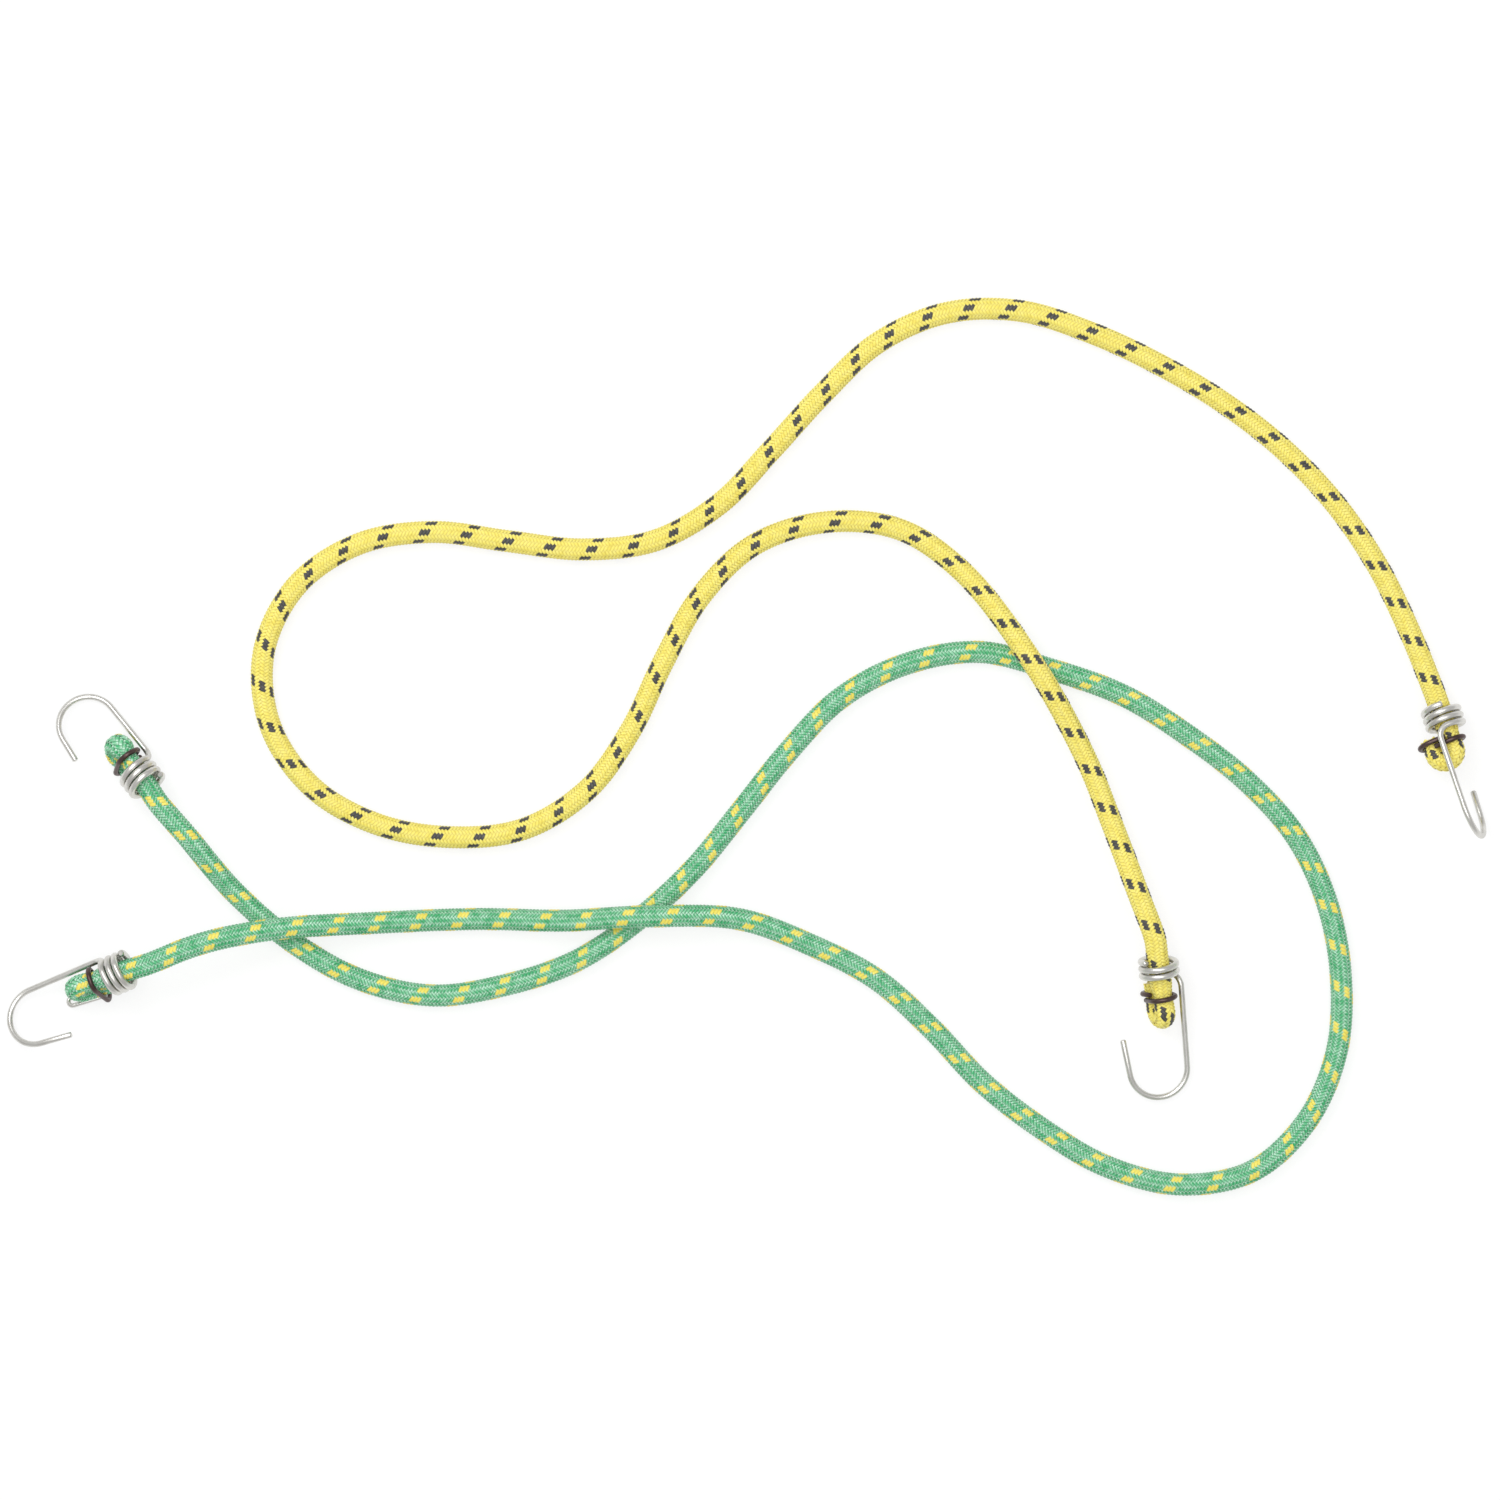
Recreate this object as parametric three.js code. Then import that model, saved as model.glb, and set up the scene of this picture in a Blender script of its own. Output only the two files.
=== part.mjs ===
// A pair of bungee cords, lying loose and tangled on a flat surface.
//
// Each cord is a core of rubber strands inside a braided sheath. At each end the cord passes
// through the coil of a steel wire hook, folds back on itself into a knob that can't slip out
// of the coil, and an open wire clip holds the two strands of the fold together. The hook
// swivels round the cord at its coil, until its leg meets the folded back strand.
//
// Millimetres, +Z up. The origin is on the surface that the cords lie on, at the centre of
// the rectangle that the four hooked ends span.

import * as THREE from 'three';

// The cord
const CORD_DIAMETER = 7.5;
const SHEATH_WALL = 0.9;
const CORE_CLEARANCE = 0.3;
// A free stretch meets its folded end in the middle of the coil, with this gap.
const SEAM_GAP = 0.3;
// What the upper cord keeps clear of the lower one where they cross.
const CROSSING_GAP = 0.9;
// The cord runs straight for this far on each side of a coil's middle.
const STRAIGHT = 10;
const CORD_SIDES = 10;
const CORE_SIDES = 8;
const CORD_STEP = 18;
// Keeps the corners of the many-sided cord off the surface.
const CORD_LIFT = 0.15;

// The hook's wire coil, its bend and its J
const HOOK_WIRE = 2.0;
const COIL_CLEARANCE = 1.05;
const COIL_PITCH = 2.45;
const COIL_SAG = 0.15;
const BEND_RADIUS = 4.1;
const CROOK_RADIUS = 9.5;
const RETURN_RADIUS = 10.2;
const RETURN_ANGLE = 85;
const WIRE_SIDES = 6;
const TURN_STEPS = 24;
const BEND_STEPS = 5;
const CROOK_STEPS = 6;

// The fold that makes the knob, measured along the coil's axis from the coil's middle
const STRAND_DIAMETER = 6.7;
const STRAND_GAP = 0.3;
const MAIN_OFFSET = 0.2;
const TAIL_START = 5.7;
const FOLD_STEPS = 8;

// The clip, an open ring of wire whose ends pass each other
const CLIP_WIRE = 1.5;
const CLIP_CLEARANCE = 0.25;
// How far the clip squeezes the strands.
const CLIP_SQUEEZE = 0.2;
const CLIP_PITCH = 1.95;
const CLIP_OVERLAP = 4.5;
const CLIP_STEPS = 10;

// The staple that locks one of the folds
const STAPLE_WIRE = 1.5;
const STAPLE_CLEARANCE = 0.4;
const STAPLE_REACH = 0.8;
const STAPLE_LENGTH = 12;
const STAPLE_SPREAD = 42;
const STAPLE_TILT = 6;
const STAPLE_STEPS = 6;

// The four hooked ends. at is the middle of the coil in plan. heading is the way the cord
// points there, in degrees from +X, and slope is how far it points down. leg and tail give
// where the hook's leg and the folded back strand lie round the cord, in degrees from the
// top. yaw and dip tilt the hook on the cord, as far as the loose coil allows. clipPlace and
// knobTurn are how far the clip and the fold's turn lie from the coil's middle. legLength and
// tipLength are the straight runs before and after the J, and twist turns the J round the leg.
const ENDS = {
  green_a: {
    at: [-202.2, 39.9], heading: 124, slope: 11, tail: 202, leg: 104,
    clipPlace: 8.1, knobTurn: 11.5,
    yaw: 5.8, dip: 5.5, turns: 3, legLength: 19, tipLength: 8.5, twist: 0,
  },
  green_b: {
    at: [-209.8, -24.8], heading: 197, slope: 10.5, tail: 202, leg: 115,
    clipPlace: 8.6, knobTurn: 13.2, stapled: true,
    yaw: 6, dip: 4.5, turns: 3, legLength: 24.5, tipLength: 11, twist: 0,
  },
  yellow_c: {
    at: [230.8, 60], heading: -71, slope: -13, tail: 100, leg: 28,
    clipPlace: 7.8, knobTurn: 10.8,
    yaw: -1, dip: 0, turns: 3, legLength: 24, tipLength: 8, twist: -12,
  },
  yellow_d: {
    at: [136, -23.3], heading: -82, slope: 8.5, tail: 160, leg: 260,
    clipPlace: 9.6, knobTurn: 14.1,
    yaw: -3.2, dip: 5, turns: 2.5, legLength: 27.5, tipLength: 12, twist: 0,
  },
};

// The routes of the free cords in plan, from coil to coil. The third number is the share of
// a full crossing's height that the cord has there: 0 lies on the surface, 1 passes over
// another run.
const GREEN_ROUTE = [
  [-187.4, 21.1, 1.3], [-171, 1.3, 0.33], [-152, -15, 0], [-130.5, -27, 0],
  [-106, -32.5, 0], [-81.5, -29, 0], [-58, -21, 0], [-37, -7, 0],
  [-19, 9.5, 0], [-3, 29, 0], [12.5, 48.5, 0], [30, 66.5, 0],
  [52, 78, 0], [76.5, 82, 0], [101, 76, 0], [124.5, 67.5, 0],
  [145.5, 54.5, 0], [165.5, 39, 0], [182, 20.5, 0], [192.5, -2, 0],
  [197, -26.5, 0], [195.5, -51.5, 0], [185.5, -74.5, 0], [167.5, -91, 0],
  [143.5, -95.5, 0], [119, -89.5, 0], [97.5, -77, 0], [77.5, -61.5, 0],
  [60.5, -43.5, 0], [42, -27, 0], [20, -15.5, 0.05], [-3.5, -7, 0.42],
  [-34, -6, 1], [-62, -7.5, 0.42], [-90, -7, 0.08], [-124, -8.2, 0.25],
  [-158.5, -10.3, 1.12], [-182, -14.9, 1.62],
];
const YELLOW_ROUTE = [
  [129.1, 1.5, 1.2], [120.8, 24, 0.6], [111.5, 47.2, 0.5], [94, 78.5, 1],
  [70.5, 109, 0.3], [49.5, 123, 0.03], [24.5, 125.2, 0], [1, 117.5, 0],
  [-16.5, 100.5, 0], [-29, 78.5, 0], [-39.7, 56, 0], [-54.3, 36, 0],
  [-75.5, 23, 0], [-100, 20.3, 0], [-124.5, 24.7, 0], [-146, 37, 0],
  [-160, 57.7, 0], [-162, 82.3, 0], [-151, 104.3, 0], [-130.5, 118, 0],
  [-106, 122, 0], [-81, 119, 0], [-56, 116.2, 0], [-31.5, 119.2, 0],
  [-10, 131.5, 0], [7.3, 149.5, 0], [24.2, 168, 0], [42.5, 185, 0],
  [65.3, 195, 0], [90, 195.7, 0], [114, 188.3, 0], [136.5, 177.8, 0],
  [158, 165, 0], [177.7, 149.7, 0], [195, 131.5, 0], [209, 111, 0],
  [220, 88.5, 0.06],
];

const HALF = 1 / 2;
const QUARTER_TURN = Math.PI / 2;
const radians = THREE.MathUtils.degToRad;

// Sizes that follow
const cordRadius = CORD_DIAMETER / 2;
const wireRadius = HOOK_WIRE / 2;
const coilRadius = cordRadius + COIL_CLEARANCE + wireRadius;
const legRadius = Math.hypot(coilRadius, BEND_RADIUS);
const bendAngle = Math.atan2(BEND_RADIUS, coilRadius);
const strandRadius = STRAND_DIAMETER / 2;
const foldRadius = strandRadius + STRAND_GAP / 2;
const tailOffset = 2 * foldRadius - MAIN_OFFSET;
const crossingRise = CORD_DIAMETER + CROSSING_GAP;

// Materials
const greenBraid = new THREE.MeshStandardMaterial({ color: 0x38a468, roughness: 0.45 });
const yellowBraid = new THREE.MeshStandardMaterial({ color: 0xf0d83c, roughness: 0.7 });
const rubber = new THREE.MeshStandardMaterial({ color: 0xd8d2c4, roughness: 0.8 });
const steel = new THREE.MeshStandardMaterial({ color: 0xc9c9c4, roughness: 0.3, metalness: 1 });
const darkWire = new THREE.MeshStandardMaterial({ color: 0x4c4244, roughness: 0.45, metalness: 0.8 });

// How far out the corners of a regular polygon are that has the area of a circle.
function cornerRadius(radius, sides) {
  return radius * Math.sqrt((2 * Math.PI) / (sides * Math.sin((2 * Math.PI) / sides)));
}

// A regular polygon with the area of a circle, and flat sides towards +X and -X.
function drawPolygon(outline, radius, sides) {
  const corner = cornerRadius(radius, sides);
  const points = [];
  for (let i = 0; i < sides; i += 1) {
    const angle = (2 * Math.PI * (i + HALF)) / sides;
    points.push(new THREE.Vector2(corner * Math.cos(angle), corner * Math.sin(angle)));
  }
  return outline.setFromPoints(points);
}

// A straight-sided tube or rod along a long curve, with an even step.
function extrudeAlong(curve, radius, sides, bore) {
  const section = drawPolygon(new THREE.Shape(), radius, sides);
  if (bore) section.holes.push(drawPolygon(new THREE.Path(), bore, CORE_SIDES));
  const steps = Math.round(curve.getLength() / CORD_STEP);
  return new THREE.ExtrudeGeometry(section, { steps, extrudePath: curve });
}

// The direction and the two cross directions at each point of a path. across is square to
// the path at its start and is carried along it without twist.
function framesAlong(points, across) {
  let side = across;
  return points.map((point, i) => {
    const into = i > 0 ? point.clone().sub(points[i - 1]) : new THREE.Vector3();
    const out = i < points.length - 1 ? points[i + 1].clone().sub(point) : new THREE.Vector3();
    const along = into.normalize().add(out.normalize()).normalize();
    side = side.clone().addScaledVector(along, -side.dot(along)).normalize();
    return { point, side, rise: along.clone().cross(side) };
  });
}

// One closed tube through a path's points, with rings of the given radii. With bores it is
// hollow from end to end.
function tubeThrough(points, radii, sides, across, bores) {
  const positions = [];
  const index = [];
  const frames = framesAlong(points, across);
  const addRings = (sizes) => {
    const first = positions.length / 3;
    frames.forEach(({ point, side, rise }, i) => {
      const corner = cornerRadius(sizes[i], sides);
      for (let k = 0; k < sides; k += 1) {
        const angle = (2 * Math.PI * (k + HALF)) / sides;
        const spot = point.clone()
          .addScaledVector(side, corner * Math.cos(angle))
          .addScaledVector(rise, corner * Math.sin(angle));
        positions.push(spot.x, spot.y, spot.z);
      }
    });
    return first;
  };
  const addQuad = (a, b, c, d) => index.push(a, b, c, a, c, d);
  const last = (points.length - 1) * sides;
  const skin = addRings(radii);
  const lining = bores ? addRings(bores) : skin;
  for (let k = 0; k < sides; k += 1) {
    const next = (k + 1) % sides;
    for (let ring = 0; ring < last; ring += sides) {
      const [near, far] = [ring, ring + sides];
      addQuad(skin + near + k, skin + near + next, skin + far + next, skin + far + k);
      if (bores) {
        addQuad(lining + near + k, lining + far + k, lining + far + next, lining + near + next);
      }
    }
    if (bores) {
      addQuad(skin + k, lining + k, lining + next, skin + next);
      addQuad(skin + last + k, skin + last + next, lining + last + next, lining + last + k);
    } else if (k > 0 && next > 0) {
      index.push(skin, next, k);
      index.push(last, last + k, last + next);
    }
  }
  const geometry = new THREE.BufferGeometry();
  geometry.setAttribute('position', new THREE.Float32BufferAttribute(positions, 3));
  geometry.setIndex(index);
  geometry.computeVertexNormals();
  return geometry;
}

// The least gap that a wound tube keeps to itself, measured between the points of its path
// that are more than half a turn of the path apart.
function leastGap(points, wire, loop) {
  const reach = [0];
  for (let i = 1; i < points.length; i += 1) {
    reach.push(reach[i - 1] + points[i].distanceTo(points[i - 1]));
  }
  let least = Infinity;
  for (let i = 0; i < points.length; i += 1) {
    for (let k = i + 1; k < points.length; k += 1) {
      if (reach[k] - reach[i] > loop * HALF) {
        least = Math.min(least, points[i].distanceTo(points[k]) - wire);
      }
    }
  }
  return least;
}

// Points on an arc, without its first one, that each call of place(angle) gives.
function arc(from, to, steps, place) {
  return Array.from({ length: steps }, (_, i) => place(from + ((to - from) * (i + 1)) / steps));
}

// In an end's own frame +X points out along the cord, +Z is the top, and a piece is turned
// round X to its place.

// The hook: a coil round X, a bend out of its last turn into the leg, which runs at the top,
// and the J, which comes back across the axis and under it.
function hookPath({ turns, legLength, tipLength, twist }) {
  const coilEnd = (turns * COIL_PITCH) / 2;
  const onCoil = (angle) => new THREE.Vector3(
    coilEnd + (COIL_PITCH * (angle + bendAngle)) / (2 * Math.PI),
    -coilRadius * Math.sin(angle),
    coilRadius * Math.cos(angle),
  );
  const coilStart = -bendAngle - 2 * Math.PI * turns;
  const coil = arc(coilStart, -bendAngle, Math.round(turns * TURN_STEPS), onCoil);
  const [start, end] = [onCoil(coilStart), onCoil(-bendAngle)];
  const bend = arc(0, QUARTER_TURN, BEND_STEPS, (angle) => new THREE.Vector3(
    end.x + BEND_RADIUS * (1 - Math.cos(angle)),
    end.y - BEND_RADIUS * Math.sin(angle) * Math.cos(bendAngle),
    end.z + BEND_RADIUS * Math.sin(angle) * Math.sin(bendAngle),
  ));
  const legEnd = end.x + BEND_RADIUS + legLength;
  const aside = radians(twist);
  const below = (x, fall) => new THREE.Vector3(
    x,
    fall * Math.sin(aside),
    legRadius - fall * Math.cos(aside),
  );
  const leg = below(legEnd, 0);
  const crook = arc(0, QUARTER_TURN, CROOK_STEPS, (angle) => below(
    legEnd + CROOK_RADIUS * Math.sin(angle),
    CROOK_RADIUS * (1 - Math.cos(angle)),
  ));
  const turned = radians(RETURN_ANGLE);
  const onReturn = (angle) => below(
    legEnd + CROOK_RADIUS - RETURN_RADIUS * (1 - Math.cos(angle)),
    CROOK_RADIUS + RETURN_RADIUS * Math.sin(angle),
  );
  const back = arc(0, turned, CROOK_STEPS, onReturn);
  const tip = below(
    legEnd + CROOK_RADIUS - RETURN_RADIUS * (1 - Math.cos(turned)) - tipLength * Math.sin(turned),
    CROOK_RADIUS + RETURN_RADIUS * Math.sin(turned) + tipLength * Math.cos(turned),
  );
  return [start, ...coil, ...bend, leg, ...crook, ...back, tip];
}

function makeHook(name, end) {
  const path = hookPath(end);
  const radii = path.map(() => wireRadius);
  const start = new THREE.Vector3(1, 0, 0);
  const mesh = new THREE.Mesh(tubeThrough(path, radii, WIRE_SIDES, start, null), steel);
  mesh.name = name;
  const gap = leastGap(path, HOOK_WIRE, 2 * Math.PI * coilRadius);
  console.log(`${name}: least gap of its wire to itself ${gap.toFixed(2)} mm`);
  return mesh;
}

// The folded end: out of the coil as the main strand, round the knob's turn, and back beside
// itself through the clip. The tail is at the top, so the main strand is just under X.
function foldStations({ clipPlace, knobTurn }) {
  const coilFace = STRAIGHT * HALF;
  const squeezed = [clipPlace - CLIP_WIRE, clipPlace + CLIP_WIRE];
  const stations = [
    [SEAM_GAP / 2, 0, cordRadius],
    [coilFace, 0, cordRadius],
    [squeezed[0], -MAIN_OFFSET, strandRadius - CLIP_SQUEEZE],
    [squeezed[1], -MAIN_OFFSET, strandRadius - CLIP_SQUEEZE],
    [knobTurn, -MAIN_OFFSET, strandRadius],
  ].map(([x, z, radius]) => ({ point: new THREE.Vector3(x, 0, z), radius }));
  const turn = arc(0, Math.PI, FOLD_STEPS, (angle) => new THREE.Vector3(
    knobTurn + foldRadius * Math.sin(angle),
    0,
    foldRadius * (1 - Math.cos(angle)) - MAIN_OFFSET,
  ));
  turn.forEach((point) => stations.push({ point, radius: strandRadius }));
  [...squeezed].reverse().forEach((x) => {
    const radius = strandRadius - CLIP_SQUEEZE;
    stations.push({ point: new THREE.Vector3(x, 0, tailOffset), radius });
  });
  stations.push({ point: new THREE.Vector3(TAIL_START, 0, tailOffset), radius: strandRadius });
  return stations;
}

function makeFold(name, braid, end) {
  const stations = foldStations(end);
  const points = stations.map((station) => station.point);
  const outer = stations.map((station) => station.radius);
  const bore = outer.map((radius) => radius - SHEATH_WALL);
  const filling = bore.map((radius) => radius - CORE_CLEARANCE);
  const across = new THREE.Vector3(0, 1, 0);
  const sheath = new THREE.Mesh(tubeThrough(points, outer, CORD_SIDES, across, bore), braid);
  sheath.name = `${name}_fold_sheath`;
  const core = new THREE.Mesh(tubeThrough(points, filling, CORD_SIDES, across, null), rubber);
  core.name = `${name}_fold_core`;
  return [sheath, core];
}

// The clip: once round both strands in an oval with straight sides, with its two ends side
// by side. room moves its far end out, past the staple.
function clipPath(place, room) {
  const radius = strandRadius + CLIP_CLEARANCE + CLIP_WIRE / 2;
  const [low, high] = [-MAIN_OFFSET, tailOffset + room];
  const middle = (low + high) * HALF;
  const flat = [
    new THREE.Vector3(0, radius, middle - CLIP_OVERLAP * HALF),
    new THREE.Vector3(0, radius, high),
    ...arc(0, Math.PI, CLIP_STEPS, (angle) => new THREE.Vector3(
      0,
      radius * Math.cos(angle),
      high + radius * Math.sin(angle),
    )),
    new THREE.Vector3(0, -radius, low),
    ...arc(0, Math.PI, CLIP_STEPS, (angle) => new THREE.Vector3(
      0,
      -radius * Math.cos(angle),
      low - radius * Math.sin(angle),
    )),
    new THREE.Vector3(0, radius, middle + CLIP_OVERLAP * HALF),
  ];
  let travelled = 0;
  const reach = flat.map((point, i) => {
    travelled += i > 0 ? point.distanceTo(flat[i - 1]) : 0;
    return travelled;
  });
  const loop = travelled - CLIP_OVERLAP;
  flat.forEach((point, i) => {
    point.x = place + (CLIP_PITCH * (reach[i] - travelled * HALF)) / loop;
  });
  return { path: flat, loop };
}

function makeClip(name, place, room) {
  const { path, loop } = clipPath(place, room);
  const radii = path.map(() => CLIP_WIRE / 2);
  const start = new THREE.Vector3(1, 0, 0);
  const mesh = new THREE.Mesh(tubeThrough(path, radii, WIRE_SIDES, start, null), darkWire);
  mesh.name = `${name}_clip`;
  const gap = leastGap(path, CLIP_WIRE, loop);
  console.log(`${mesh.name}: least gap of its wire to itself ${gap.toFixed(2)} mm`);
  return mesh;
}

// The staple: a U of light wire whose prongs lie along the tail strand, under the clip.
function makeStaple(name, knobTurn) {
  const reach = strandRadius + STAPLE_CLEARANCE + STAPLE_WIRE / 2;
  const prong = (degrees) => {
    const angle = radians(degrees);
    return [-reach * Math.sin(angle), tailOffset + reach * Math.cos(angle)];
  };
  const low = prong(STAPLE_TILT - STAPLE_SPREAD * HALF);
  const high = prong(STAPLE_TILT + STAPLE_SPREAD * HALF);
  const knobEnd = knobTurn + foldRadius + strandRadius;
  const bottom = knobEnd - STAPLE_REACH;
  const bow = Math.hypot(high[0] - low[0], high[1] - low[1]) * HALF;
  const between = (share) => [
    low[0] + (high[0] - low[0]) * share,
    low[1] + (high[1] - low[1]) * share,
  ];
  const path = [
    new THREE.Vector3(bottom - STAPLE_LENGTH, ...low),
    new THREE.Vector3(bottom, ...low),
    ...arc(0, Math.PI, STAPLE_STEPS, (angle) => new THREE.Vector3(
      bottom + bow * Math.sin(angle),
      ...between((1 - Math.cos(angle)) * HALF),
    )),
    new THREE.Vector3(bottom - STAPLE_LENGTH, ...high),
  ];
  const radii = path.map(() => STAPLE_WIRE / 2);
  const start = new THREE.Vector3(0, 1, 0);
  const mesh = new THREE.Mesh(tubeThrough(path, radii, WIRE_SIDES, start, null), steel);
  mesh.name = name;
  return mesh;
}

// Turns +X to a heading and a downward slope, with +Z kept at the top.
function facing(heading, slope) {
  return new THREE.Euler(0, radians(slope), radians(heading), 'ZYX');
}

// One hooked end as a group whose lowest point touches the surface.
function makeEnd(name, braid, end) {
  const group = new THREE.Group();
  const knob = new THREE.Group();
  knob.rotation.copy(facing(end.heading, end.slope));
  const fold = new THREE.Group();
  fold.rotation.x = radians(end.tail);
  const room = end.stapled ? STAPLE_WIRE + 3 * STAPLE_CLEARANCE : 0;
  fold.add(...makeFold(name, braid, end), makeClip(name, end.clipPlace, room));
  if (end.stapled) fold.add(makeStaple(`${name}_staple`, end.knobTurn));
  knob.add(fold);
  const swivel = new THREE.Group();
  swivel.position.z = -COIL_SAG;
  swivel.rotation.copy(facing(end.heading + end.yaw, end.slope + end.dip));
  const hook = makeHook(`${name}_hook`, end);
  hook.rotation.x = radians(end.leg);
  swivel.add(hook);
  group.add(knob, swivel);
  const height = -new THREE.Box3().setFromObject(group, true).min.z;
  group.position.set(...end.at, height);
  const out = new THREE.Vector3(1, 0, 0).applyEuler(knob.rotation);
  const words = [...group.position.toArray(), ...out.toArray()].map((n) => n.toFixed(4));
  console.log(`${name}: coil at ${words.slice(0, 3)}, pointing ${words.slice(3)}`);
  return { group, middle: group.position, out };
}

// The free stretch between two ends: the route's points, with a straight run into each coil.
function makeStretch(name, braid, first, route, last) {
  const into = (end, distance) => end.middle.clone().addScaledVector(end.out, -distance);
  const straight = [SEAM_GAP / 2, STRAIGHT * HALF, STRAIGHT];
  const rest = cordRadius + CORD_LIFT;
  const points = [
    ...straight.map((distance) => into(first, distance)),
    ...route.map(([x, y, share]) => new THREE.Vector3(x, y, rest + crossingRise * share)),
    ...straight.map((distance) => into(last, distance)).reverse(),
  ];
  const curve = new THREE.CatmullRomCurve3(points);
  const bore = cordRadius - SHEATH_WALL;
  const sheath = new THREE.Mesh(extrudeAlong(curve, cordRadius, CORD_SIDES, bore), braid);
  sheath.name = `${name}_sheath`;
  const core = new THREE.Mesh(
    extrudeAlong(curve, bore - CORE_CLEARANCE, CORE_SIDES, 0),
    rubber,
  );
  core.name = `${name}_core`;
  console.log(`${name}: free length ${curve.getLength().toFixed(1)} mm`);
  return [sheath, core];
}

const group = new THREE.Group();
const cords = [
  ['green', greenBraid, 'green_a', GREEN_ROUTE, 'green_b'],
  ['yellow', yellowBraid, 'yellow_d', YELLOW_ROUTE, 'yellow_c'],
];
for (const [name, braid, from, route, to] of cords) {
  const first = makeEnd(from, braid, ENDS[from]);
  const last = makeEnd(to, braid, ENDS[to]);
  group.add(first.group, last.group, ...makeStretch(name, braid, first, route, last));
}

for (const [name, end] of Object.entries(ENDS)) {
  const points = foldStations(end).map((station) => station.point);
  const length = new THREE.CatmullRomCurve3(points).getLength();
  console.log(`${name}: its folded end holds ${length.toFixed(1)} mm of cord`);
}

export default group;
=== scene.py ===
# %% [markdown]
# # A pair of bungee cords
# Two elastic cords lie loose on a white surface: a green one with yellow tracer yarns, and over
# it a yellow one with black tracers. Each end is folded back through the coil of a wire hook
# and held by a dark wire clip. The packed model already gives every piece its place. This
# notebook gives the pieces their looks: a real braid of yarns, round drawn wire, and light.

# %% Load the frame
import math
import bmesh
import bpy
from mathutils import Euler, Matrix, Vector

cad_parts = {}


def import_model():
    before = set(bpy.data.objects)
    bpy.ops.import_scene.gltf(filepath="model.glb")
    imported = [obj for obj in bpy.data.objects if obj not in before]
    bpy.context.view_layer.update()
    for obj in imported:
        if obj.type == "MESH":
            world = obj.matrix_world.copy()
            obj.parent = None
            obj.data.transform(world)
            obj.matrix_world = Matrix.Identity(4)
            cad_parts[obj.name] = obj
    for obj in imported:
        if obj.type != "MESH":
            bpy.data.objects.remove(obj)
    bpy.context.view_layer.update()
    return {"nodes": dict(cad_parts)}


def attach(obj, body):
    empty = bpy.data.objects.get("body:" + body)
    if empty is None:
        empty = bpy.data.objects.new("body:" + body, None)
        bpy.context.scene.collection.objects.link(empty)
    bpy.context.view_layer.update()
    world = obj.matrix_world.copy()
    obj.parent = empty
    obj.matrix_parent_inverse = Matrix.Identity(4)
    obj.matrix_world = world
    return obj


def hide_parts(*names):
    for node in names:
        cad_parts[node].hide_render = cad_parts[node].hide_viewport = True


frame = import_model()
MM = 0.001


def linked(name, data):
    """A new object of the data, linked to the scene's collection, without which it isn't seen."""
    obj = bpy.data.objects.new(name, data)
    bpy.context.collection.objects.link(obj)
    return obj


# %% [markdown]
# ## Camera
# The photograph looks straight down, and a pixel is a third of a millimetre on the cords. A
# long lens far away keeps the picture almost free of perspective, as a shop photograph is. The
# distance follows from the lens: the half width of the sensor over the focal length is the
# half width of the view over the distance.

# %% Look straight down
PIXEL = MM / 3
PHOTO_WIDTH = 1500 * PIXEL
PHOTO_CENTRE = (0.0, 148 * PIXEL)
CORD_MIDDLE = 4 * MM
LENS = 250
SENSOR = 36

camera_data = bpy.data.cameras.new("photo_camera")
camera_data.lens = LENS
camera_data.sensor_width = SENSOR
camera_data.clip_end = 20
camera = linked("photo_camera", camera_data)
distance = PHOTO_WIDTH * LENS / SENSOR
camera.location = (*PHOTO_CENTRE, CORD_MIDDLE + distance)
bpy.context.scene.camera = camera
print("camera height:", round(distance, 3), "m")

# %% [markdown]
# ## Where the cords run
# A cord's line is a smooth curve through a few chosen points. This is the same curve as the
# packed model's: a centripetal Catmull-Rom spline, which passes through every point and never
# loops between close ones. The third number of a point is its height, as a share of the hump
# that carries one cord over another. Each hooked end has a place and three angles of its own,
# because no two of them lie alike.

# %% The four hooked ends
CORD_DIAMETER = 7.5
CORD_REST = CORD_DIAMETER / 2 + 0.15
CROSSING_RISE = CORD_DIAMETER + 0.9
COIL_SAG = 0.15
JOIN = 0.15
ENDS = {
    "green_a": dict(at=(-202.2, 39.9, 12.7041), heading=124, slope=11, tail=202, leg=104,
                    clip_place=8.1, knob_turn=11.5, yaw=5.8, dip=5.5, turns=3,
                    leg_length=19, tip_length=8.5, twist=0, room=0),
    "green_b": dict(at=(-209.8, -24.8, 15.2109), heading=197, slope=10.5, tail=202, leg=115,
                    clip_place=8.6, knob_turn=13.2, yaw=6, dip=4.5, turns=3,
                    leg_length=24.5, tip_length=11, twist=0, room=2.7),
    "yellow_c": dict(at=(230.8, 60.0, 8.7513), heading=-71, slope=-13, tail=100, leg=28,
                     clip_place=7.8, knob_turn=10.8, yaw=-1, dip=0, turns=3,
                     leg_length=24, tip_length=8, twist=-12, room=0),
    "yellow_d": dict(at=(136.0, -23.3, 12.7979), heading=-82, slope=8.5, tail=160, leg=260,
                     clip_place=9.6, knob_turn=14.1, yaw=-3.2, dip=5, turns=2.5,
                     leg_length=27.5, tip_length=12, twist=0, room=0),
}


def turned(heading, slope, roll):
    """Turns +X to a heading and a downward slope, after a roll round +X, all in degrees."""
    turn = Euler((0, math.radians(slope), math.radians(heading)), "XYZ").to_matrix()
    return (turn @ Matrix.Rotation(math.radians(roll), 3, "X")).to_4x4()


def fold_place(end):
    """From the fold's own frame, in millimetres, to the row frame."""
    return Matrix.Translation(end["at"]) @ turned(end["heading"], end["slope"], end["tail"])


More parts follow.
